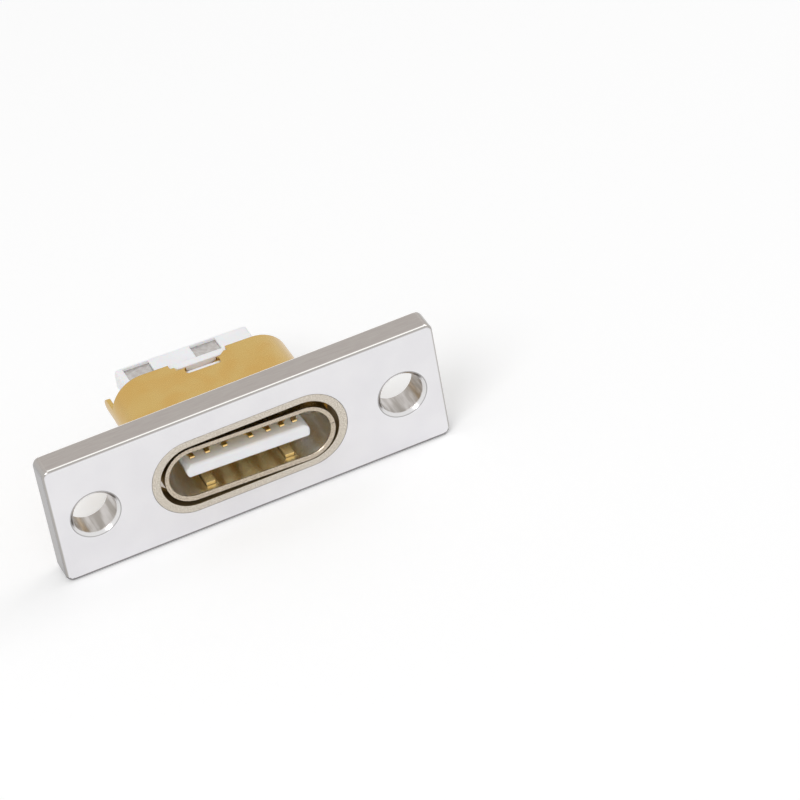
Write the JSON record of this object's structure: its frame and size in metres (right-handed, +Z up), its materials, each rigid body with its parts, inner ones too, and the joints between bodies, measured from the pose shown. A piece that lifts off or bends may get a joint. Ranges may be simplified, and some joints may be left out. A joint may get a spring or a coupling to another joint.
{
  "type": "usb-c socket",
  "caption": "Panel-mount USB-C power socket: a screw-fixed nickel plate with a long slot, a collar, a folded metal shell with flared tabs, and a white core with solder pads.",
  "frame": {"origin": "centre of the plate's front face, on the axis between the two screw holes, where the plug axis meets it", "axes": "+X along the plate, +Y back through the panel, +Z up; the mating face points along -Y"},
  "size_m": [0.0202, 0.0092, 0.0066],
  "materials": {
    "plate_metal": "bright nickel, fine lapped grain",
    "collar_metal": "warm satin",
    "rear_shell_gold": "pale gold plate",
    "plug_shell_gold": "pale gold plate",
    "white_plastic": "matte",
    "wafer_plastic": "matte",
    "steel": "rolled",
    "contact_gold": "gold plate"
  },
  "bodies": {
    "root": {"face_plate": "plate_metal", "slot_collar": "collar_metal", "rear_shell": "rear_shell_gold", "plug_shell": "plug_shell_gold", "core_moulding": "white_plastic", "mid_plate": "steel", "upper_wafer": "wafer_plastic", "lower_wafer": "wafer_plastic", "upper_negative_terminal": "contact_gold", "upper_positive_terminal": "contact_gold", "upper_contact_3": "contact_gold", "upper_contact_6": "contact_gold", "upper_contact_7": "contact_gold", "lower_negative_terminal": "contact_gold", "lower_positive_terminal": "contact_gold", "lower_contact_3": "contact_gold", "lower_contact_6": "contact_gold", "lower_contact_7": "contact_gold"}
  },
  "joints": []
}
